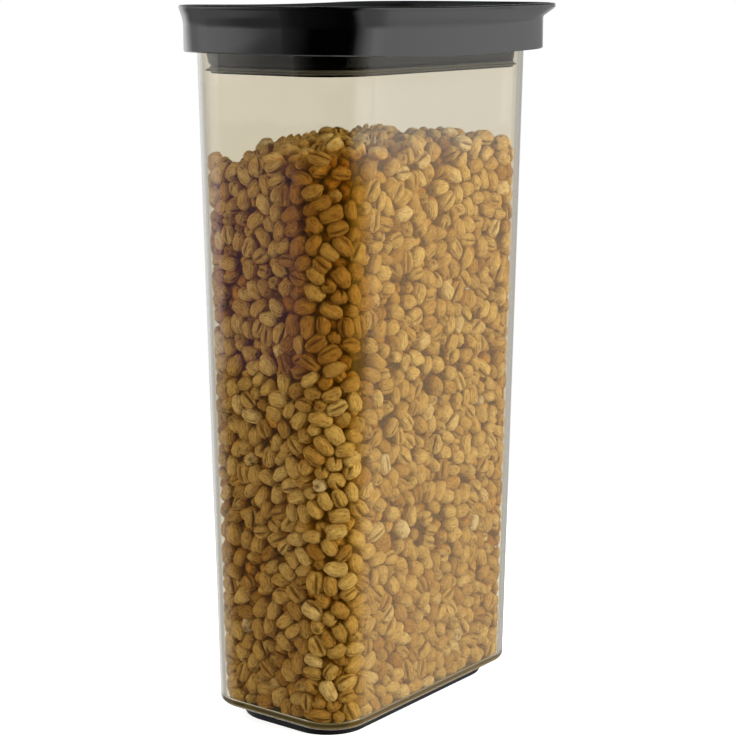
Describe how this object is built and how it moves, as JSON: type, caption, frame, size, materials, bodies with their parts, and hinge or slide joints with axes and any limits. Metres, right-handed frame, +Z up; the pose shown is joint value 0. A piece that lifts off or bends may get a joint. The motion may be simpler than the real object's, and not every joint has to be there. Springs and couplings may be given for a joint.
{
  "type": "cereal container",
  "caption": "Tall smoky clear kitchen container with a black lift-off lid, a flip flap over its pouring opening, silicone seals and a soft foot.",
  "frame": {"origin": "centre of the foot's flat rest face, on the surface that the container stands on, under the middle of the container's own walls", "axes": "+Z up, +Y towards the pouring lip along the wide side, +X across the narrow side"},
  "size_m": [0.094, 0.1511, 0.27],
  "materials": {
    "smoky_plastic": "clear, lightly smoked, glossy",
    "lid_plastic": "near-black moulded plastic, semi-gloss",
    "liner_plastic": "dark grey moulded plastic, satin",
    "silicone": "olive-grey translucent silicone",
    "foot_rubber": "black, matte, soft",
    "pin_steel": "plain drawn steel"
  },
  "bodies": {
    "container": {"container_body": "smoky_plastic", "base_foot": "foot_rubber"},
    "lid": {"lid_shell": "lid_plastic", "lid_liner": "liner_plastic", "lid_seal": "silicone", "hinge_pin": "pin_steel"},
    "flap": {"spout_flap": "lid_plastic", "flap_seal": "silicone"}
  },
  "joints": [
    {"name": "lid_lift", "type": "slide", "parent": "container", "child": "lid", "axis": [0, 0, 1], "range_m": [0, 0.04]},
    {"name": "flap_hinge", "type": "hinge", "parent": "lid", "child": "flap", "pos_m": [0, -0.005, 0.2655], "axis": [1, 0, 0], "range_deg": [0, 110]}
  ]
}
